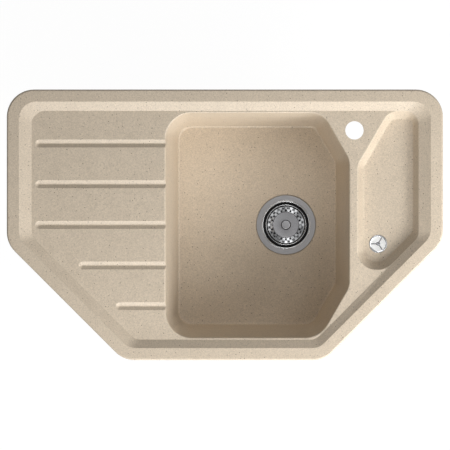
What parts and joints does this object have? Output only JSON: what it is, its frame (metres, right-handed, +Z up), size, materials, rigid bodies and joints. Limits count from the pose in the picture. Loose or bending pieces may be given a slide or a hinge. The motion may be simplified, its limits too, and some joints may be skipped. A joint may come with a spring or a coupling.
{
  "type": "corner kitchen sink",
  "caption": "Inset corner kitchen sink in granite composite, with a bowl, a ribbed drainer, a side trough with overflow, a basket strainer and clamps for the worktop.",
  "frame": {"origin": "middle of the sink's plan, on the worktop's surface (the underside of the rim)", "axes": "+X runs along the back edge from the drainer to the side trough, +Y points to the back edge where the tap stands, +Z is up"},
  "size_m": [0.83, 0.515, 0.2975],
  "materials": {
    "composite": "beige granite composite, matt, fine mottling and sparse dark specks",
    "foam": "soft sealing strip",
    "stainless": "satin and polished stainless steel",
    "black_rubber": "smooth black rubber",
    "chrome": "bright chrome",
    "white_plastic": "moulded white polypropylene",
    "grey_rubber": "grey rubber",
    "brass": "turned brass",
    "zinc_steel": "zinc-plated pressed steel"
  },
  "bodies": {
    "sink": {"sink_body": "composite", "rim_seal": "foam", "strainer_flange": "stainless", "centre_screw": "stainless", "overflow_screw": "stainless", "flange_seal": "black_rubber", "body_seal": "black_rubber", "overflow_seal": "black_rubber", "overflow_grille": "chrome", "waste_body": "white_plastic", "overflow_head": "white_plastic", "overflow_pipe": "white_plastic", "head_nut": "white_plastic", "branch_nut": "white_plastic", "head_cone": "grey_rubber", "branch_cone": "grey_rubber", "waste_insert": "brass", "overflow_insert": "brass", "clip_inserts": "brass", "clip_screws": "zinc_steel"},
    "basket": {"strainer_basket": "stainless", "basket_seal": "black_rubber", "basket_knob": "stainless", "knob_nut": "stainless"},
    "clamp_1": {"clip_arm_1": "zinc_steel"},
    "clamp_2": {"clip_arm_2": "zinc_steel"},
    "clamp_3": {"clip_arm_3": "zinc_steel"},
    "clamp_4": {"clip_arm_4": "zinc_steel"},
    "clamp_5": {"clip_arm_5": "zinc_steel"},
    "clamp_6": {"clip_arm_6": "zinc_steel"},
    "clamp_7": {"clip_arm_7": "zinc_steel"}
  },
  "joints": [
    {"name": "basket_lift", "type": "slide", "parent": "sink", "child": "basket", "axis": [0, 0, 1], "range_m": [0, 0.24]},
    {"name": "clamp_1_swing", "type": "hinge", "parent": "sink", "child": "clamp_1", "pos_m": [0.39, 0.113, -0.044], "axis": [0, 0, 1], "range_deg": [0, 90]},
    {"name": "clamp_2_swing", "type": "hinge", "parent": "sink", "child": "clamp_2", "pos_m": [0.17, 0.2325, -0.044], "axis": [0, 0, 1], "range_deg": [0, 90]},
    {"name": "clamp_3_swing", "type": "hinge", "parent": "sink", "child": "clamp_3", "pos_m": [-0.17, 0.2325, -0.044], "axis": [0, 0, 1], "range_deg": [0, 90]},
    {"name": "clamp_4_swing", "type": "hinge", "parent": "sink", "child": "clamp_4", "pos_m": [-0.39, 0.111, -0.044], "axis": [0, 0, 1], "range_deg": [0, 90]},
    {"name": "clamp_5_swing", "type": "hinge", "parent": "sink", "child": "clamp_5", "pos_m": [-0.28632, -0.12882, -0.044], "axis": [0, 0, 1], "range_deg": [0, 90]},
    {"name": "clamp_6_swing", "type": "hinge", "parent": "sink", "child": "clamp_6", "pos_m": [-0.002, -0.2325, -0.044], "axis": [0, 0, 1], "range_deg": [0, 90]},
    {"name": "clamp_7_swing", "type": "hinge", "parent": "sink", "child": "clamp_7", "pos_m": [0.28432, -0.12682, -0.044], "axis": [0, 0, 1], "range_deg": [0, 90]}
  ]
}
